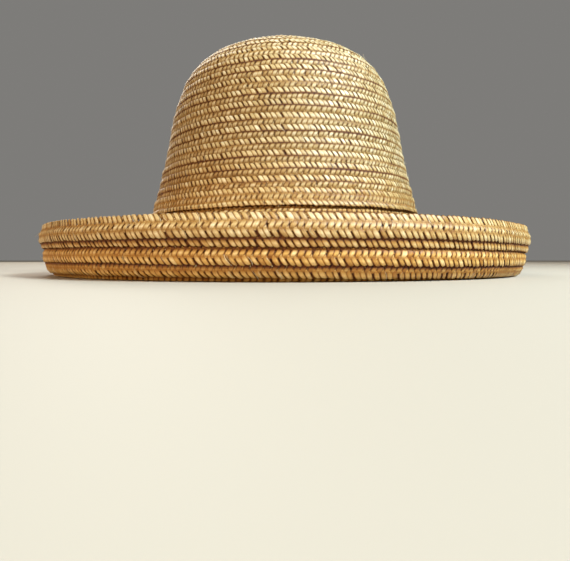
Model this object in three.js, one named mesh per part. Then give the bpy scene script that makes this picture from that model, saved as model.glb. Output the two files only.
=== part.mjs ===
// A sun hat sewn from a long flat straw plait: a rounded crown flares into a sloping brim, and the brim
// rolls up all round to an upright rim. Millimetres, +Z up, the front of the hat towards -Y, and the origin
// on the resting surface below the middle of the crown.
import * as THREE from 'three';

// The plait: its full width, the height of one layer, and how far a turn's edges lie off the hat's middle
// line, one towards each face
const PLAIT_WIDTH = 13.3;
const PLAIT_THICKNESS = 1.3;
const TURN_LEAN = 1.0;

// The hat's section, from the middle of the crown's top outwards: the length of each arc along the surface
// and the surface's slope at the arc's outer end, in degrees below the horizontal
const SECTION = [
  { stretch: 'flat top', length: 45, endSlope: 9 },
  { stretch: 'shoulder', length: 48, endSlope: 67 },
  { stretch: 'upper side', length: 34, endSlope: 80 },
  { stretch: 'lower side', length: 65, endSlope: 74 },
  { stretch: 'flare', length: 28, endSlope: 48 },
  { stretch: 'slope', length: 22, endSlope: 44 },
  { stretch: 'foot of the slope', length: 18, endSlope: 7 },
  { stretch: 'resting ring', length: 22, endSlope: 0 },
  { stretch: 'roll', length: 14, endSlope: -77 },
  { stretch: 'upright wall', length: 27, endSlope: -90 },
];

// Even turns of the plait in each piece, then the uneven turns at the rim: how much of each shows on the
// brim's lower face, and how far it stands proud there
const CROWN_TURNS = 22;
const SLOPE_TURNS = 7;
const ROLL_TURNS = 4;
const RIM_TURNS = [
  { turn: 'plain', shows: 7.0, proud: 0 },
  { turn: 'wide', shows: 9.9, proud: 0 },
  { turn: 'narrow', shows: 4.1, proud: 0 },
  { turn: 'edge', shows: PLAIT_WIDTH, proud: 0.6 },
];

// The hat is longer from front to back than across, by this much at each end from the shoulder outwards
const HEAD_OVAL = 5;
const OVAL_FULL_RADIUS = 60;

// The lowest turn is pressed flat where the hat rests
const FLOOR_PRESS = 0.7;
const PRESSED_WIDTH = 5;

const SEAM_GAP = 0.3;
const SEGMENTS = 36;
const SHARP_BEND = 25;
const RADIANS = Math.PI / 180;

const SECTION_LENGTH = SECTION.reduce((sum, arc) => sum + arc.length, 0);
const RIM_LENGTH = RIM_TURNS.reduce((sum, row) => sum + row.shows, 0);
const EVEN_TURNS = CROWN_TURNS + SLOPE_TURNS + ROLL_TURNS;
const PITCH = (SECTION_LENGTH - RIM_LENGTH) / EVEN_TURNS;

// The section's middle line at a length s from the top, with the slope there
function sectionAt(s) {
  let radius = 0;
  let height = 0;
  let slope = 0;
  let left = s;
  for (const { length, endSlope } of SECTION) {
    const run = Math.min(left, length);
    const end = slope + (endSlope * RADIANS - slope) * (run / length);
    const half = (end - slope) / 2;
    const chord = half === 0 ? run : (run * Math.sin(half)) / half;
    radius += chord * Math.cos(slope + half);
    height -= chord * Math.sin(slope + half);
    slope = end;
    left -= run;
    if (left <= 0) break;
  }
  return { radius, height, slope };
}

// Every turn of the plait: where its inner and outer edges lie along the section, how proud it stands, and
// whether it laps its inner neighbour on the upper face, as in the crown, or on the lower, as in the brim
function layTurns() {
  const turns = [];
  for (let n = 0; n < EVEN_TURNS; n += 1) turns.push({ inner: n * PITCH, proud: 0 });
  let inner = EVEN_TURNS * PITCH;
  for (const { shows, proud } of RIM_TURNS) {
    turns.push({ inner, proud });
    inner += shows;
  }
  return turns.map((turn, n) => ({ ...turn, outer: turn.inner + PLAIT_WIDTH, lapsOnTop: n < CROWN_TURNS }));
}

const TURNS = layTurns();
const lapsOnTop = (n) => n < TURNS.length && TURNS[n].lapsOnTop;

// A turn's inner edge lies on the face where it laps its inner neighbour, and its outer edge on the face where
// its outer neighbour leaves it bare. The crown's last turn lies over both, so it is a shallow V.
function middleOfTurn(n, s) {
  const { inner, proud } = TURNS[n];
  const across = (2 * (s - inner)) / PLAIT_WIDTH - 1;
  const onTop = across < 0 ? lapsOnTop(n) : !lapsOnTop(n + 1);
  return TURN_LEAN * Math.abs(across) * (onTop ? 1 : -1) - proud;
}

// A point off the section's middle line, towards the hat's upper or outer face
function offsetPoint(s, offset) {
  const { radius, height, slope } = sectionAt(s);
  return new THREE.Vector2(radius + offset * Math.sin(slope), height + offset * Math.cos(slope));
}

// The stretch of one turn that shows on a face, with a point halfway where the turn or the section bends
function faceOfTurn(n, side) {
  const coversInner = n > 0 && lapsOnTop(n) === (side > 0);
  const coveredByOuter = n < TURNS.length - 1 && lapsOnTop(n + 1) === (side > 0);
  const from = coversInner || n === 0 ? TURNS[n].inner : TURNS[n - 1].outer;
  const to = coveredByOuter ? TURNS[n + 1].inner : TURNS[n].outer;
  const isShallowV = lapsOnTop(n) !== lapsOnTop(n + 1);
  const bend = Math.abs(sectionAt(to).slope - sectionAt(from).slope) / RADIANS;
  const stops = isShallowV || bend > SHARP_BEND ? [from, (from + to) / 2, to] : [from, to];
  return stops.map((s) => offsetPoint(s, middleOfTurn(n, s) + (side * PLAIT_THICKNESS) / 2));
}

const lowestOf = (n) => faceOfTurn(n, -1)[0].y;
const LOWEST_TURN = [...TURNS.keys()].reduce((best, n) => (lowestOf(n) < lowestOf(best) ? n : best));
const FLOOR = lowestOf(LOWEST_TURN) + FLOOR_PRESS;

function lowerFace(n) {
  const points = faceOfTurn(n, -1);
  if (n === LOWEST_TURN) {
    const { radius } = sectionAt(TURNS[n].inner + PRESSED_WIDTH);
    points.splice(1, 0, new THREE.Vector2(radius, FLOOR));
  }
  return points;
}

// The seam between two pieces runs through the lap of their turns, with half its gap on each side
function seam(n, side) {
  const offset = (s) => middleOfTurn(n, s) + PLAIT_THICKNESS / 2 + (side * SEAM_GAP) / 2;
  const { outer } = TURNS[n - 1];
  const { inner } = TURNS[n];
  return { upper: offsetPoint(outer, offset(outer)), lower: offsetPoint(inner, offset(inner)) };
}

// The closed outline of a run of turns, out along the upper face and back along the lower one
function outline(first, count) {
  const upper = [];
  const lower = [];
  for (let n = first; n < first + count; n += 1) {
    upper.push(...faceOfTurn(n, 1));
    lower.push(...lowerFace(n));
  }
  if (first > 0) {
    const start = seam(first, -1);
    upper[0] = start.upper;
    lower.unshift(start.lower);
  }
  if (first + count < TURNS.length) {
    const end = seam(first + count, 1);
    upper.push(end.upper);
    lower[lower.length - 1] = end.lower;
  }
  const points = [...upper, ...lower.reverse()];
  if (first > 0) points.push(points[0].clone());
  return points.map(({ x, y }) => new THREE.Vector2(x, Math.max(y, FLOOR) - FLOOR));
}

// Turns an outline round the upright axis, and draws it out from front to back
function revolve(points) {
  const geometry = new THREE.LatheGeometry([...points].reverse(), SEGMENTS);
  geometry.rotateX(Math.PI / 2);
  const position = geometry.getAttribute('position');
  for (let i = 0; i < position.count; i += 1) {
    const radius = Math.hypot(position.getX(i), position.getY(i));
    const stretch = radius > 0 ? 1 + (HEAD_OVAL * Math.min(1, radius / OVAL_FULL_RADIUS)) / radius : 1;
    position.setY(i, position.getY(i) * stretch);
  }
  geometry.computeVertexNormals();
  return geometry;
}

// The pieces from the top outwards: natural straw throughout, paler where it is sewn smooth and tight
const PIECES = [
  { name: 'crown', turns: CROWN_TURNS, colour: 0xd6b377, roughness: 0.5 },
  { name: 'brim_slope', turns: SLOPE_TURNS, colour: 0xcd9c56, roughness: 0.55 },
  { name: 'brim_roll', turns: ROLL_TURNS + RIM_TURNS.length - 1, colour: 0xcb9850, roughness: 0.55 },
  { name: 'edge_band', turns: 1, colour: 0xd4aa66, roughness: 0.5 },
];

const hat = new THREE.Group();
let firstTurn = 0;
for (const { name, turns, colour, roughness } of PIECES) {
  const straw = new THREE.MeshStandardMaterial({ color: colour, roughness, metalness: 0 });
  const piece = new THREE.Mesh(revolve(outline(firstTurn, turns)), straw);
  piece.name = name;
  hat.add(piece);
  firstTurn += turns;
}

export default hat;
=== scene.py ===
# A sun hat sewn from one long flat straw plait, dressed over its solids. Every strand of the plait is a
# closed ribbon woven over and under the others, and the plait is sewn round in one spiral from the middle of
# the crown's top out to the rim. The hat rests on a pale floor under soft light. Sizes on the hat are in
# millimetres until they become vertices, and the camera, the lamps and the floor are in metres.
import math

import bpy
import numpy as np
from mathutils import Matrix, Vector


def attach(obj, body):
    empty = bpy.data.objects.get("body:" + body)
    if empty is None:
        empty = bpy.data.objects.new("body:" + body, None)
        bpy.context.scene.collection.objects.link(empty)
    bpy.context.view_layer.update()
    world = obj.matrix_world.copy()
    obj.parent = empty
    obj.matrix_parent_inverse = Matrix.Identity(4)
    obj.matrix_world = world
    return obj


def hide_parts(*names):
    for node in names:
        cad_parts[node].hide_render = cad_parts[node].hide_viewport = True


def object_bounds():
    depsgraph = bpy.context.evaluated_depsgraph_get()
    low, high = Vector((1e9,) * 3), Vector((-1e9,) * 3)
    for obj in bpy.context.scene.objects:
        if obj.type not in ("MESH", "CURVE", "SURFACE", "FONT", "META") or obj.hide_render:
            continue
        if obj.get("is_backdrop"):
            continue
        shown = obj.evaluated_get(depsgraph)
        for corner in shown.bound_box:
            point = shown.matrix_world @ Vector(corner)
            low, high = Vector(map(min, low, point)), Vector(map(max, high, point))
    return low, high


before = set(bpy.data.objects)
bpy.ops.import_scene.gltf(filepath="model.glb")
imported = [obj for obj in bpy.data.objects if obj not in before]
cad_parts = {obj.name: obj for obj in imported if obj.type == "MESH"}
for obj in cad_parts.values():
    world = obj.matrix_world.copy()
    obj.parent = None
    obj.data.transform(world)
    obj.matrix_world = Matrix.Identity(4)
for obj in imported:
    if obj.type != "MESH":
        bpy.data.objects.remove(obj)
cad_low, cad_high = (list(corner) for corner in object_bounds())

MM = 0.001

# The photograph's frame in pixels, the focal length in its pixels, the sensor's width in millimetres, and
# the camera: how far it stands in front of the hat's middle, how high, and the height that it looks at
FRAME_WIDTH = 570
FOCAL_PIXELS = 560
SENSOR_WIDTH = 36
CAMERA_DISTANCE = 0.470
CAMERA_HEIGHT = 0.012
LOOK_AT_HEIGHT = -0.006
CLIP_START = 0.01

# A small cool lamp at the right, a wide warm one at the left and a soft one behind, with their power in
# watts and how wide their light fans out, in degrees. They aim at the middle of the hat.
LAMPS = [
    # name, place, size, power, colour, spread
    ("key", (0.75, -0.60, 0.88), 0.4, 36, (0.79, 0.92, 1.0), 180),
    ("fill", (-1.5, -1.9, 0.65), 1.6, 7.5, (1.0, 0.68, 0.38), 60),
    ("back", (-0.5, 1.6, 1.2), 1.4, 26, (1.0, 0.95, 0.88), 180),
]
LAMP_AIM = (0, 0, 0.08)
SKY_COLOUR = (0.86, 0.84, 0.80, 1)
SKY_STRENGTH = 0.24
FLOOR_SIZE = 8
FLOOR_COLOUR = (0.42, 0.37, 0.295, 1)
FLOOR_ROUGHNESS = 0.7

# The plait: its width, its strands, the length of one zigzag of a strand from edge to edge and back, a
# strand's width along the plait, and how far its path is rounded between the folds, from 0 to 1
PLAIT_WIDTH = 13.3
STRANDS = 4
ZIGZAG = 14.8
STRAND_WIDTH = 3.4
PATH_ROUNDING = 0.5

# In the crown, pressed smoother, and in the brim: the plait's thickness, its strands' thickness, and how far
# a turn's edges lie off the hat's middle line
PLAIT_THICKNESS = (1.4, 1.8)
STRAND_THICKNESS = (0.65, 0.9)
TURN_LEAN = (0.95, 1.4)

# The stretch of a turn, from its inner edge, -1, to its outer, 1, where it crosses over from its lap with
# the last turn to its lap with the next, and how far its middle arches towards the face that it laps on
LEAN_STRETCH = (-0.3, 0.75)
PLAIT_ARCH = 0.15

# How much the folds, their spacing, the strands' widths, their heights and their tones differ by chance: as
# a share of a fold's reach, in millimetres, and as shares of the width, of the height and of all the tones.
# The tones' chance is drawn for each leg, partly as the straw's own tone and partly as painted light,
# brighter or duller as if each float caught the light at its own angle.
FOLD_CHANCE = 0.025
SPACING_CHANCE = 0.32
WIDTH_CHANCE = 0.09
HEIGHT_CHANCE = 0.16
TONE_AND_GLINT_CHANCE = 0.22
CHANCE_SEED = 57

# A strand is made of straws that differ in tone, and these are the lengths of the shortest and the longest
STRAW_LENGTHS = (120, 380)

# The last legs of each strand lie open at the plait's end, where nothing crosses over them, and are painted
# in at least this much light
END_LEGS = 3
END_LIGHT = 0.6

# What the straw's nodes read at every point: its tone, about 0 to 1 from dark to pale, the share of the
# light that reaches it, which is painted into its colour as shade, how far it is from a lap, in millimetres,
# for the painted shade by the laps, and how far it takes the paler colours, from 0 to 1, which are partly
# the straw's own bleaching and partly painted light
LOOKS = ("tone", "light", "clear", "bleach_and_light")

# How far the straw takes its paler colours at some turns of the spiral: the crown the most, and the edge
# more than the brim. The paler colours are partly the straw's own bleaching and partly painted light, which
# makes the crown paler where it faces the light from above.
BLEACH_AND_LIGHT_AT = {0: 1, 17: 1, 27: 0.1, 35: 0, 36.2: 0.6, 38: 0.6}

# How much light is left in the painted shade at the plait's edges, and how far in from them it starts to
# grow and is full
EDGE_LIGHT = 0.7
EDGE_SHADE = (0.2, 1.2)

# One leg of a strand, from the fold at one edge of the plait to the fold at the other: how far along, the
# height as a share of the crossing's, how wide, how far the ribbon has turned out of the flat, and how much
# light reaches it, which is painted into its colour as shade
LEG = [
    # along, height, width, turned, light
    (0.00, 0.0, 0.70, -1.00, 0.35),
    (0.07, 0.75, 0.94, -0.45, 0.90),
    (0.25, 1.0, 1.00, 0.00, 1.00),
    (0.375, 0.0, 0.94, 0.00, 0.42),
    (0.50, -1.0, 1.00, 0.00, 1.00),
    (0.625, 0.0, 0.94, 0.00, 0.42),
    (0.75, 1.0, 1.00, 0.00, 1.00),
    (0.93, 0.75, 0.94, 0.45, 0.90),
]

# Fibres that have split off the strands: how many are tried, how much of the plait's start and end has none,
# and how they crowd towards the rim, the more the smaller this is below 1
SPLINTERS = 3600
SPLINTER_FREE_START = 300
SPLINTER_FREE_END = 60
SPLINTER_CROWDING = 0.65

# A splinter's sections, its width, its depth as a share of that, its reach, and how blunt its ends are
SPLINTER_SECTIONS = 5
SPLINTER_WIDTH = (0.18, 0.42)
SPLINTER_DEPTH = 0.5
SPLINTER_REACH = (2.5, 7.0)
SPLINTER_BLUNT = 0.08

# The columns of strands on a face of the plait lie this far apart, and a splinter lies on one of them. Then
# the shares of its reach that it goes along the plait and across it, and how far it strays and bows.
COLUMN_SPACING = 3.8
SPLINTER_SLANT = (0.5, 0.86)
SPLINTER_STRAY = 0.25
SPLINTER_BOW = 0.3

# How high a splinter lies off the plait's middle layer, how much its own middle rises, and how far its free
# end lifts, at least and at most beyond that. The greater the rarity, the fewer lift far.
SPLINTER_HEIGHT = 0.9
SPLINTER_RISE = 0.1
SPLINTER_LIFT = (0.05, 2.4)
SPLINTER_LIFT_RARITY = 5

# A splinter keeps this far from any lap, and its tone is pale
SPLINTER_CLEAR = 1
SPLINTER_TONE = (1.0, 1.5)

# The straw's colours from its darkest tone to its palest, golden and paler, and its colour in the deepest
# painted shade. The golden ones are partly the straw's own colour and partly the painted warm light thrown
# up from the floor into the brim; the paler ones are partly the straw's bleaching and partly painted light
# on the crown.
GOLDEN = [(0.40, 0.18, 0.025), (0.63, 0.39, 0.108), (0.84, 0.66, 0.34)]
BLEACH_AND_LIGHT_COLOURS = [(0.34, 0.215, 0.07), (0.52, 0.42, 0.22), (0.75, 0.69, 0.51)]
SHADED = (0.17, 0.062, 0.007)
HALF_SHADED = tuple(channel**0.3 for channel in SHADED)
UNSHADED = (1, 1, 1)
TONE_STOPS = (0.0, 0.5, 1.0)

# Where the painted shade in a crease is deep, half and none, by the share of the light that reaches it. Then
# where a strand's own painted shade is none, half and deep, from the strand's middle, 0, to its flank, 1.
CREASE_STOPS = (0.15, 0.5, 1.0)
FLANK_STOPS = (0.5, 0.80, 1.0)

# The straw's fibres, finer across a strand than along it, and its wide patches, by the scale of their noise
# and its detail. Most of the fibres' noise lies in the range. In the noise each strand lies the last number
# away from the strand before, so that no two have the same fibres.
FIBRE_STRETCH = (6.0, 0.25, 1.0)
FIBRE_DETAIL = 5.0
FIBRE_RANGE = (0.25, 0.75)
PATCH_SCALE = 22.0
PATCH_DETAIL = 2.0
STRAND_NOISE_STEP = 7.3

# How much each straw's own tone, its fibres and its patches count in the tone, and the sum's range
STRAW_SHARE = 0.8
FIBRE_SHARE = 2.0
PATCH_SHARE = 0.6
TONE_RANGE = (0.85, 2.55)

# How much rougher than its finish the straw is in a crease, by its fibres, and how much smoother in the open
# than there. Then the height of its grain, its strength, and how much light it mirrors.
CREASE_ROUGHNESS = (0.3, 0.55)
OPEN_SMOOTHNESS = 0.4
GRAIN_HEIGHT = 0.25
GRAIN_STRENGTH = 0.8
SPECULAR_LEVEL = 0.37

# Each straw's roughness, and how far from a lap its painted shade reaches
STRAWS = {
    "crown_straw": (0.33, 1.9),
    "brim_straw": (0.35, 3.0),
    "edge_straw": (0.33, 3.0),
}

# The pieces of the plait, from the top outwards: the turns where each starts and ends, the solid that it
# stands for, and its straw. The last piece holds all that is left of the plait.
PIECES = [
    ("crown_top_plait", 0, 14, "crown", "crown_straw"),
    ("crown_side_plait", 14, 22, "crown", "crown_straw"),
    ("slope_upper_plait", 22, 26, "brim_slope", "brim_straw"),
    ("slope_lower_plait", 26, 29, "brim_slope", "brim_straw"),
    ("roll_lower_plait", 29, 32, "brim_roll", "brim_straw"),
    ("roll_upper_plait", 32, 36, "brim_roll", "brim_straw"),
    ("edge_band_plait", 36, 38, "edge_band", "edge_straw"),
]

# The map of a ribbon's faces: the margin left free in each cell, and the size of a cap's cell
MAP_MARGIN = 0.05
CAP_CELL = 0.5

# The hat's section, from the middle of the crown's top outwards, as the solids have it: the length of each
# arc along the surface, and the surface's slope at its outer end, in degrees below the horizontal
SECTION = [
    ("flat top", 45, 9),
    ("shoulder", 48, 67),
    ("upper side", 34, 80),
    ("lower side", 65, 74),
    ("flare", 28, 48),
    ("slope", 22, 44),
    ("foot of the slope", 18, 7),
    ("resting ring", 22, 0),
    ("roll", 14, -77),
    ("upright wall", 27, -90),
]

# The hat is longer from front to back than across, by this much at each end from this radius outwards
HEAD_OVAL = 5
OVAL_FULL_RADIUS = 60

# The turns of the plait: even ones in the crown and the brim, then the uneven ones at the rim, with how much
# of each shows on the brim's lower face
CROWN_TURNS = 22
BRIM_EVEN_TURNS = 11
RIM_TURNS = [("plain", 7.0), ("wide", 9.9), ("narrow", 4.1), ("edge", PLAIT_WIDTH)]

# The plait is sewn in one spiral, clockwise as seen from above, that starts and ends at the back, and it
# keeps this far from the middle of the crown's top. In the crown each turn laps the last on the upper face,
# and in the brim on the lower, and they change places within this share of a turn either way.
SEAM_AZIMUTH = math.radians(90)
INNERMOST = 0.35
LAP_SWAP = 0.02

# The rows wander a little along the hat and off it: cycles in a turn, and how far, in millimetres. Each wave
# has a phase of its own, and the rows have settled into their wandering after so many turns.
ROW_WANDER = [(1.37, 0.22), (3.71, 0.16), (8.23, 0.12), (15.61, 0.08)]
ROW_LIFT = [(2.63, 0.10), (6.47, 0.10), (13.19, 0.08), (27.7, 0.05)]
PHASE_PER_CYCLE = 5
SETTLED_TURNS = 3

SECTION_LENGTH = sum(length for _, length, _ in SECTION)
EVEN_TURNS = CROWN_TURNS + BRIM_EVEN_TURNS
ALL_TURNS = EVEN_TURNS + len(RIM_TURNS)
PITCH = (SECTION_LENGTH - sum(shows for _, shows in RIM_TURNS)) / EVEN_TURNS

# The height of the section's first point above the floor puts the top of the crown where the solids have it
SOLID_LEAN = 1.0
SOLID_THICKNESS = 1.3
TOP_HEIGHT = cad_high[2] / MM - SOLID_LEAN - SOLID_THICKNESS / 2

# Whatever would reach below this height is pressed in between it and the floor
PRESS_HEIGHT = 0.9

# How many places the table of the spiral's length has, and a distance beyond the reach of any lap
SPIRAL_STEPS = 15000
FAR = 99


def waves(table, turn):
    """The sum of a table of waves, each with its cycles in a turn and its height."""
    return sum(
        height * np.sin(2 * np.pi * cycles * turn + PHASE_PER_CYCLE * cycles)
        for cycles, height in table
    )


def section_at(s):
    """The section's middle line at lengths s from the top: its radius, height and slope."""
    radius, height, slope = np.zeros_like(s), np.full_like(s, TOP_HEIGHT), np.zeros_like(s)
    start, start_slope = 0.0, 0.0
    for _, length, end_degrees in SECTION:
        end_slope = math.radians(end_degrees)
        run = np.clip(s - start, 0, length)
        half = (end_slope - start_slope) * run / length / 2
        chord = run * np.sinc(half / np.pi)
        radius += chord * np.cos(start_slope + half)
        height -= chord * np.sin(start_slope + half)
        slope = np.where(run > 0, start_slope + 2 * half, slope)
        start, start_slope = start + length, end_slope
    return radius, height, slope


def inner_edges():
    """Where each turn's inner edge lies along the section."""
    edges = [n * PITCH for n in range(EVEN_TURNS + 1)]
    for _, shows in RIM_TURNS[:-1]:
        edges.append(edges[-1] + shows)
    return edges


def smooth_step(value, low, high):
    """0 up to the low value and 1 from the high one, with a smooth change between them."""
    share = np.clip((value - low) / (high - low), 0, 1)
    return share * share * (3 - 2 * share)


# Where the plait's inner edge lies at each half turn, level for the first half turn and the last. The plait
# goes on past its last turn for a small share of one, and there its inner edge is drawn in to this far short
# of the middle between the last two turns' inner edges.
INNER_EDGES = inner_edges()
END_OVERLAP = 0.035
END_SHORT_OF_MIDDLE = 0.6
END_EDGE = (INNER_EDGES[-1] + INNER_EDGES[-2]) / 2 + END_SHORT_OF_MIDDLE
EDGE_KNOTS = [0, *(n + 0.5 for n in range(ALL_TURNS)), ALL_TURNS, ALL_TURNS + END_OVERLAP]
EDGE_PLACES = [0, *INNER_EDGES, INNER_EDGES[-1], END_EDGE]


def inner_edge(turn):
    """Where the plait's inner edge lies along the section at a place along the spiral, counted in turns."""
    settled = np.clip(turn / SETTLED_TURNS, 0, 1)
    return np.interp(turn, EDGE_KNOTS, EDGE_PLACES) + settled * waves(ROW_WANDER, turn)


def spiral_lengths():
    """A fine table of places along the spiral, in turns, and the length of plait sewn up to each."""
    turns = np.linspace(0, ALL_TURNS + END_OVERLAP, SPIRAL_STEPS)
    radius, _, _ = section_at(inner_edge(turns) + PLAIT_WIDTH / 2)
    around = 2 * np.pi * (radius + HEAD_OVAL / 2)
    steps = (around[1:] + around[:-1]) / 2 * np.diff(turns)
    return turns, np.concatenate([[0], np.cumsum(steps)])


SPIRAL_TURNS, SPIRAL_LENGTHS = spiral_lengths()


def turn_at(length):
    """The place along the spiral, in turns, at a length of the plait."""
    return np.interp(length, SPIRAL_LENGTHS, SPIRAL_TURNS)


def brim_share(turn):
    """0 in the crown and 1 in the brim, with the change in the crown's last turn."""
    return smooth_step(turn, CROWN_TURNS - 1, CROWN_TURNS)


def by_place(turn, in_crown, in_brim):
    """A size of the plait that differs between the crown and the brim."""
    return in_crown + (in_brim - in_crown) * brim_share(turn)


def middle_of_plait(turn, across):
    """How far the plait's middle lies off the section's, across from its inner edge, -1, to its outer, 1."""
    inner_side = 1 - 2 * smooth_step(turn, CROWN_TURNS - LAP_SWAP, CROWN_TURNS + LAP_SWAP)
    outer_side = 2 * smooth_step(turn, CROWN_TURNS - 1 - LAP_SWAP, CROWN_TURNS - 1 + LAP_SWAP) - 1
    lean = by_place(turn, *TURN_LEAN)
    crossing_over = 2 * smooth_step(across, *LEAN_STRETCH) - 1
    leaning = lean * np.abs(crossing_over) * np.where(crossing_over < 0, inner_side, outer_side)
    arch = PLAIT_ARCH * (1 - across**2) * (1 - 2 * brim_share(turn))
    layer_step = 2 * lean * PITCH / PLAIT_WIDTH
    shows = inner_edge(turn) - inner_edge(turn - 1)
    in_rim = np.clip(turn - EVEN_TURNS + 0.5, 0, 1)
    proud = np.clip(layer_step * (1 - shows / PITCH), 0, layer_step) * in_rim
    return leaning + arch - proud + waves(ROW_LIFT, turn)


def clear_of_laps(length, across, above):
    """How far a place lies inside the stretch of its turn that shows on the upper or the lower face."""
    turn = turn_at(length)
    s = inner_edge(turn) + PLAIT_WIDTH / 2 + across
    to_next = inner_edge(turn + 1) - s
    to_next = np.where(turn > ALL_TURNS - 1, FAR, to_next)
    from_last = s - inner_edge(turn - 1) - PLAIT_WIDTH
    from_last = np.where(turn < 1, FAR, from_last)
    on_upper = np.where(turn < CROWN_TURNS - 1, to_next, np.where(turn < CROWN_TURNS, FAR, from_last))
    on_lower = np.where(turn < CROWN_TURNS - 1, from_last, np.where(turn < CROWN_TURNS, FAR, to_next))
    return np.minimum(np.where(above, on_upper, on_lower), PLAIT_WIDTH)


def on_hat(length, across, off):
    """Points on the hat: along the plait, across its middle line outwards, and off its middle layer."""
    turn = turn_at(length)
    s = np.maximum(inner_edge(turn) + PLAIT_WIDTH / 2 + across, INNERMOST)
    radius, height, slope = section_at(s)
    lift = middle_of_plait(turn, across * 2 / PLAIT_WIDTH) + off
    radius = radius + lift * np.sin(slope)
    height = height + lift * np.cos(slope)
    pressed = PRESS_HEIGHT * np.exp(np.minimum(height / PRESS_HEIGHT - 1, 0))
    height = np.maximum(height, pressed)
    azimuth = SEAM_AZIMUTH - 2 * np.pi * turn
    oval = HEAD_OVAL * np.minimum(1, radius / OVAL_FULL_RADIUS)
    x = radius * np.cos(azimuth)
    y = (radius + oval) * np.sin(azimuth)
    return np.stack([x, y, height], -1) * MM


def ribbon_points(along, across, off, half, out, up):
    """A ribbon's sections on the hat, with four corners each: a flank, a face, the other flank and face."""
    corners = np.array(
        [
            [along - half, across, off],
            [along, across + out, off + up],
            [along + half, across, off],
            [along, across - out, off - up],
        ]
    )
    return on_hat(*corners.transpose(1, 2, 0))


def uneven(share, count, chance):
    """A column of factors near 1, which differ from it by chance, by about this share."""
    return 1 + share * chance.standard_normal((count, 1))


def strand_sections(strand, chance):
    """One strand's sections along the whole spiral: their corners, places along the plait, and looks."""
    along, height, width, turned, _ = np.array(LEG).T
    legs = int(SPIRAL_LENGTHS[-1] / (ZIGZAG / 2)) - 1
    leg = np.arange(legs)[:, None]
    outward = np.where(leg % 2 == 0, 1.0, -1.0)
    start = strand * ZIGZAG / STRANDS + leg * ZIGZAG / 2
    turn = turn_at(start)
    thickness = by_place(turn, *STRAND_THICKNESS)
    reach = (PLAIT_WIDTH - STRAND_THICKNESS[0]) / 2 * uneven(FOLD_CHANCE, legs + 1, chance)
    slip = SPACING_CHANCE * chance.standard_normal((legs + 1, 1))
    edge_from, edge_to = -outward * reach[:-1], outward * reach[1:]
    centre = start + along * ZIGZAG / 2 + slip[:-1] * (1 - along) + slip[1:] * along
    share = along * (1 - PATH_ROUNDING) + (1 - np.cos(np.pi * along)) / 2 * PATH_ROUNDING
    across = edge_from + (edge_to - edge_from) * share
    crossing = (by_place(turn, *PLAIT_THICKNESS) - thickness) / 2 * uneven(HEIGHT_CHANCE, legs, chance)
    off = -outward * crossing * height
    half = STRAND_WIDTH / 2 * width * uneven(WIDTH_CHANCE, legs, chance)
    out = outward * turned * thickness / 2
    up = -outward * np.sqrt(1 - turned**2) * thickness / 2
    sizes = np.broadcast_arrays(centre, across, off, half, out, up)
    centre, across, off, half, out, up = (size.ravel() for size in sizes)
    points = ribbon_points(centre, across, off, half, out, up)
    return points, centre, strand_looks(centre, across, off > 0, chance)


def strand_looks(centre, across, above, chance):
    """What the straw's nodes read at each section of a strand."""
    legs = len(centre) // len(LEG)
    in_row = np.arange(len(centre)) < (legs - END_LEGS) * len(LEG)
    # The share of light painted into each section as shade: low where it dives under crossings, at the folds
    # and near the plait's edges
    light = np.tile([leg_light for *_, leg_light in LEG], legs)
    light = np.where(in_row, light, np.maximum(light, END_LIGHT))
    at_edge = smooth_step(PLAIT_WIDTH / 2 - np.abs(across), *EDGE_SHADE)
    light = light * (EDGE_LIGHT + (1 - EDGE_LIGHT) * at_edge)
    # Each leg's own tone: partly the straw's and partly painted light, as if each float caught the light at
    # its own angle
    leg_tones_and_glints = np.repeat(TONE_AND_GLINT_CHANCE * chance.standard_normal(legs), len(LEG))
    tones = strand_tones(centre, chance) + leg_tones_and_glints
    clear = np.where(in_row, clear_of_laps(centre, across, above), PLAIT_WIDTH)
    # Partly the straw's own bleaching and partly painted light, which makes the crown paler
    bleach_and_light = np.interp(turn_at(centre), list(BLEACH_AND_LIGHT_AT), list(BLEACH_AND_LIGHT_AT.values()))
    return np.stack([tones, light, clear, bleach_and_light])


def strand_tones(length, chance):
    """The tone of the straw along a strand, which changes where one straw ends and the next begins."""
    shortest, longest = STRAW_LENGTHS
    ends = np.cumsum(chance.uniform(shortest, longest, int(length[-1] / shortest) + 2))
    tones = chance.uniform(0, 1, len(ends) + 1)
    return tones[np.searchsorted(ends, length)]


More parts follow.
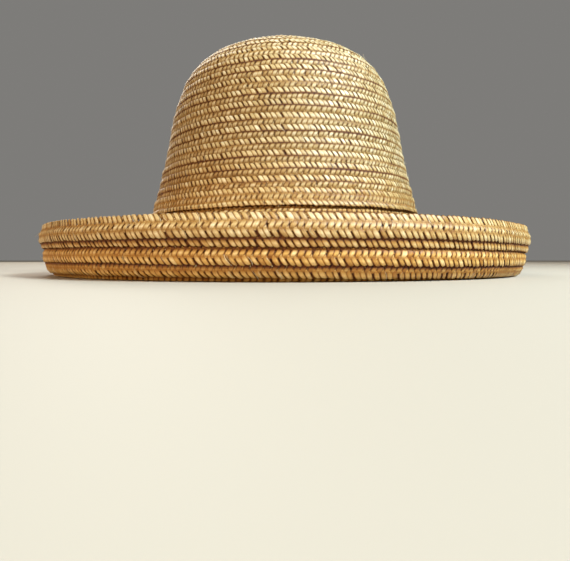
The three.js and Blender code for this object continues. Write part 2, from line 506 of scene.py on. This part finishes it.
def splinters(chance):
    """Fine fibres that have split off the strands and lie a little lifted on them, each a ribbon."""
    steps = np.linspace(0, 1, SPLINTER_SECTIONS)
    hump = np.sin(np.pi * steps)
    pointed = np.sqrt(np.sin(np.pi * (SPLINTER_BLUNT + (1 - 2 * SPLINTER_BLUNT) * steps)))
    full = np.ones(SPLINTER_SECTIONS)
    slant_along, slant_across = SPLINTER_SLANT
    least_lift, more_lift = SPLINTER_LIFT
    room = SPIRAL_LENGTHS[-1] - SPLINTER_FREE_START - SPLINTER_FREE_END
    made = []
    for place in SPLINTER_FREE_START + room * chance.uniform(0, 1, SPLINTERS) ** SPLINTER_CROWDING:
        column = chance.integers(-1, 2)
        above = bool(chance.integers(0, 2))
        heading = 1 if above == (column == 0) else -1
        reach = chance.uniform(*SPLINTER_REACH)
        straying = chance.uniform(-SPLINTER_STRAY, SPLINTER_STRAY)
        across = column * COLUMN_SPACING + heading * (steps - 0.5) * reach * slant_across + straying
        bowed = chance.uniform(-SPLINTER_BOW, SPLINTER_BOW) * hump
        length = place + reach * ((steps - 0.5) * (slant_along + straying) + bowed)
        lifted = least_lift + more_lift * chance.uniform() ** SPLINTER_LIFT_RARITY
        off = (1 if above else -1) * (SPLINTER_HEIGHT + SPLINTER_RISE * hump + lifted * steps**2)
        half = chance.uniform(*SPLINTER_WIDTH) / 2 * pointed
        clear = clear_of_laps(np.full(SPLINTER_SECTIONS, place), across, above)
        if clear.min() < SPLINTER_CLEAR:
            continue
        points = ribbon_points(length, across, off, half, 0, half * SPLINTER_DEPTH)
        tones = full * chance.uniform(*SPLINTER_TONE)
        # A splinter is painted without the shade of crossings, and in the paler colours, partly bleaching
        # and partly painted light
        made.append((points, length, np.stack([tones, full, clear, full])))
    return made


def ribbon_faces(base, count):
    """The faces of a closed ribbon with so many sections, from the base vertex on: sides, then caps."""
    ring = np.arange(4)
    section = base + 4 * np.arange(count - 1)[:, None]
    first = section + ring
    beside = section + (ring + 1) % 4
    sides = np.stack([first, beside, beside + 4, first + 4], -1).reshape(-1, 4)
    caps = [base + ring[::-1], base + 4 * (count - 1) + ring]
    return np.concatenate([sides, caps])


def ribbon_map(placed, count, per_row, rows):
    """The map of a ribbon's faces: a cell for each stretch, row by row, and the caps in the last row."""
    ring = np.arange(4)
    cell = placed + np.arange(count - 1)
    column, row = cell % per_row, cell // per_row
    u = np.stack([column, column, column + 1, column + 1], -1)[:, None] + np.zeros((1, 4, 1))
    side = np.stack([ring, ring + 1, ring + 1, ring], -1)[None]
    v = row[:, None, None] + MAP_MARGIN + (1 - 2 * MAP_MARGIN) / 4 * side
    sides = np.stack([u / per_row, v / rows], -1).reshape(-1, 2)
    corner = np.array([[0, 0], [1, 0], [1, 1], [0, 1]]) * CAP_CELL
    cap = (corner + [placed % per_row, rows - (1 + CAP_CELL) / 2]) / [per_row, rows]
    return np.concatenate([sides, cap, cap])


def quad_mesh(name, points, faces):
    """A smooth mesh with these points and four-sided faces."""
    mesh = bpy.data.meshes.new(name)
    mesh.vertices.add(len(points))
    mesh.vertices.foreach_set("co", points.ravel())
    mesh.loops.add(faces.size)
    mesh.loops.foreach_set("vertex_index", faces.ravel().astype(np.int32))
    mesh.polygons.add(len(faces))
    mesh.polygons.foreach_set("loop_start", np.arange(0, faces.size, 4, dtype=np.int32))
    mesh.update(calc_edges=True)
    mesh.shade_smooth()
    return mesh


def sharpen_flanks(mesh):
    """Makes the edges along both flanks of every ribbon sharp, so that each looks like a flat straw."""
    ends = np.zeros(2 * len(mesh.edges), np.int32)
    mesh.edges.foreach_get("vertices", ends)
    start, end = ends.reshape(-1, 2).T
    on_flank = (np.abs(end - start) == 4) & (start % 2 == 0)
    mesh.attributes.new("sharp_edge", "BOOLEAN", "EDGE").data.foreach_set("value", on_flank)


def ribbon_piece(name, strands):
    """One piece of closed ribbons. Each has its sections' points, places along the plait, and looks."""
    quads = sum(len(along) - 1 for _, along, _ in strands)
    per_row = int(math.sqrt(quads * 4)) + 1
    rows = math.ceil(quads / per_row) + 1
    faces, straws, maps = [], [], []
    base, placed = 0, 0
    for number, (_, along, _) in enumerate(strands):
        count = len(along)
        faces.append(ribbon_faces(base, count))
        maps.append(ribbon_map(placed, count, per_row, rows))
        sides = np.tile([-1.0, 0.0, 1.0, 0.0], count)
        noise_place = np.full(4 * count, STRAND_NOISE_STEP * number)
        straws.append(np.stack([sides, np.repeat(along, 4), noise_place], -1))
        base += 4 * count
        placed += count - 1
    points = np.concatenate([section_points.reshape(-1, 3) for section_points, _, _ in strands])
    looks = np.concatenate([np.repeat(section_looks, 4, axis=1) for _, _, section_looks in strands], axis=1)
    mesh = quad_mesh(name, points, np.concatenate(faces))
    sharpen_flanks(mesh)
    for look, values in zip(LOOKS, looks):
        mesh.attributes.new(look, "FLOAT", "POINT").data.foreach_set("value", values)
    straw_places = mesh.attributes.new("straw", "FLOAT_VECTOR", "POINT")
    straw_places.data.foreach_set("vector", np.concatenate(straws).ravel())
    mesh.uv_layers.new(name="OFBake").data.foreach_set("uv", np.concatenate(maps).ravel())
    piece = bpy.data.objects.new(name, mesh)
    bpy.context.collection.objects.link(piece)
    return piece


class Nodes:
    """The nodes of one material, made and joined by short calls."""

    def __init__(self, name):
        self.material = bpy.data.materials.new(name)
        self.material.use_nodes = True
        self.tree = self.material.node_tree
        self.tree.nodes.clear()

    def put(self, socket, value):
        if isinstance(value, bpy.types.NodeSocket):
            self.tree.links.new(value, socket)
        else:
            socket.default_value = value

    def make(self, kind, inputs=None, **settings):
        made = self.tree.nodes.new(kind)
        for name, value in settings.items():
            setattr(made, name, value)
        for key, value in (inputs or {}).items():
            self.put(made.inputs[key], value)
        return made

    def math(self, operation, *values):
        return self.make("ShaderNodeMath", dict(enumerate(values)), operation=operation).outputs[0]

    def attribute(self, name, output="Fac"):
        return self.make("ShaderNodeAttribute", attribute_name=name).outputs[output]

    def noise(self, vector, scale, detail):
        inputs = {"Vector": vector, "Scale": scale, "Detail": detail}
        return self.make("ShaderNodeTexNoise", inputs).outputs["Fac"]

    def ramp(self, factor, *stops):
        made = self.make("ShaderNodeValToRGB", {0: factor})
        elements = made.color_ramp.elements
        while len(elements) < len(stops):
            elements.new(0.5)
        for element, (place, colour) in zip(elements, stops):
            element.position = place
            element.color = (*colour, 1)
        return made.outputs[0]

    def mix(self, factor, first, second, blend_type="MIX"):
        inputs = {0: factor, 6: first, 7: second}
        return self.make("ShaderNodeMix", inputs, data_type="RGBA", blend_type=blend_type).outputs[2]

    def spread(self, value, low, high, to_low=0.0, to_high=1.0):
        inputs = {0: value, 1: low, 2: high, 3: to_low, 4: to_high}
        return self.make("ShaderNodeMapRange", inputs).outputs[0]


def straw(name, roughness, lap_shade):
    """Glossy straw: a tone for each length of straw, fibres along it, and painted shade in the creases
    between strands.
    """
    nodes = Nodes(name)
    place = nodes.attribute("straw", "Vector")
    along_fibres = nodes.make("ShaderNodeMapping", {"Vector": place, "Scale": FIBRE_STRETCH}).outputs[0]
    fibres = nodes.noise(along_fibres, 1.0, FIBRE_DETAIL)
    object_place = nodes.make("ShaderNodeTexCoord").outputs["Object"]
    patches = nodes.noise(object_place, PATCH_SCALE, PATCH_DETAIL)
    tone = nodes.math("MULTIPLY", fibres, FIBRE_SHARE)
    tone = nodes.math("MULTIPLY_ADD", nodes.attribute("tone"), STRAW_SHARE, tone)
    tone = nodes.math("MULTIPLY_ADD", patches, PATCH_SHARE, tone)
    tone = nodes.spread(tone, *TONE_RANGE)
    golden = nodes.ramp(tone, *zip(TONE_STOPS, GOLDEN))
    # The paler colours: partly the straw's own bleaching and partly painted light, mostly on the crown
    bleach_and_light = nodes.ramp(tone, *zip(TONE_STOPS, BLEACH_AND_LIGHT_COLOURS))
    colour = nodes.mix(nodes.attribute("bleach_and_light"), golden, bleach_and_light)
    # Painted shade: darker where less light reaches, near crossings, folds and edges, and by the laps
    # between rows
    off_lap = nodes.spread(nodes.attribute("clear"), 0, lap_shade)
    in_open = nodes.math("MINIMUM", nodes.attribute("light"), off_lap)
    crease = nodes.ramp(in_open, *zip(CREASE_STOPS, (SHADED, HALF_SHADED, UNSHADED)))
    colour = nodes.mix(1.0, colour, crease, "MULTIPLY")
    # Painted shade along each strand's flanks, where it meets its neighbours
    side = nodes.math("ABSOLUTE", nodes.make("ShaderNodeSeparateXYZ", {0: place}).outputs["X"])
    flank = nodes.ramp(side, *zip(FLANK_STOPS, (UNSHADED, HALF_SHADED, SHADED)))
    colour = nodes.mix(1.0, colour, flank, "MULTIPLY")
    smoothest, roughest = (roughness + more for more in CREASE_ROUGHNESS)
    rough = nodes.spread(fibres, *FIBRE_RANGE, smoothest, roughest)
    rough = nodes.math("MULTIPLY_ADD", in_open, -OPEN_SMOOTHNESS, rough)
    relief = {"Strength": GRAIN_STRENGTH, "Distance": GRAIN_HEIGHT * MM, "Height": fibres}
    grain = nodes.make("ShaderNodeBump", relief).outputs[0]
    surface = {
        "Base Color": colour,
        "Roughness": rough,
        "Normal": grain,
        "Specular IOR Level": SPECULAR_LEVEL,
    }
    shader = nodes.make("ShaderNodeBsdfPrincipled", surface)
    nodes.make("ShaderNodeOutputMaterial", {0: shader.outputs[0]})
    return nodes.material


def plait_pieces():
    """Lays the plait round the hat, and cuts it into pieces that stand for the solids."""
    chance = np.random.default_rng(CHANCE_SEED)
    strands = [strand_sections(strand, chance) for strand in range(STRANDS)]
    fibres = splinters(chance)
    straws = {name: straw(name, *finish) for name, finish in STRAWS.items()}
    for name, first, last, solid, slot in PIECES:
        start, end = np.interp([first, last], SPIRAL_TURNS, SPIRAL_LENGTHS)
        parts = []
        for points, along, looks in strands:
            low, high = np.searchsorted(along, [start, end]) + [0, 1]
            parts.append((points[low:high], along[low:high], looks[:, low:high]))
        parts += [fibre for fibre in fibres if start <= fibre[1][0] < end]
        piece = ribbon_piece(name, parts)
        piece.data.materials.append(straws[slot])
        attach(piece, "root")
        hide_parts(solid)


def stage():
    """The pale floor that the hat rests on."""
    bpy.ops.mesh.primitive_plane_add(size=FLOOR_SIZE)
    floor = bpy.context.object
    floor.name = "floor"
    pale = bpy.data.materials.new("pale_floor")
    pale.use_nodes = True
    shader = pale.node_tree.nodes["Principled BSDF"]
    shader.inputs["Base Color"].default_value = FLOOR_COLOUR
    shader.inputs["Roughness"].default_value = FLOOR_ROUGHNESS
    floor.data.materials.append(pale)
    floor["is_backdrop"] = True


def lamps():
    """The lamps, which light the hat but don't show in the picture themselves."""
    for name, place, size, power, colour, spread in LAMPS:
        data = bpy.data.lights.new(name, "AREA")
        data.size = size
        data.energy = power
        data.color = colour
        data.spread = math.radians(spread)
        lamp = bpy.data.objects.new(name, data)
        lamp.location = place
        lamp.rotation_euler = (Vector(LAMP_AIM) - Vector(place)).to_track_quat("-Z", "Y").to_euler()
        lamp.visible_camera = False
        bpy.context.collection.objects.link(lamp)


def sky():
    """An even pale light from all round."""
    world = bpy.data.worlds.new("sky")
    world.use_nodes = True
    background = world.node_tree.nodes["Background"]
    background.inputs["Color"].default_value = SKY_COLOUR
    background.inputs["Strength"].default_value = SKY_STRENGTH
    bpy.context.scene.world = world


def camera():
    """The camera, which looks at the front of the hat from just above the floor."""
    data = bpy.data.cameras.new("camera")
    data.sensor_width = SENSOR_WIDTH
    data.lens = FOCAL_PIXELS / FRAME_WIDTH * SENSOR_WIDTH
    data.clip_start = CLIP_START
    eye = bpy.data.objects.new("camera", data)
    eye.location = (0, -CAMERA_DISTANCE, CAMERA_HEIGHT)
    look = Vector((0, 0, LOOK_AT_HEIGHT)) - eye.location
    eye.rotation_euler = look.to_track_quat("-Z", "Y").to_euler()
    bpy.context.collection.objects.link(eye)
    bpy.context.scene.camera = eye


camera()
lamps()
sky()
stage()
plait_pieces()
bpy.context.scene.view_settings.view_transform = "Standard"
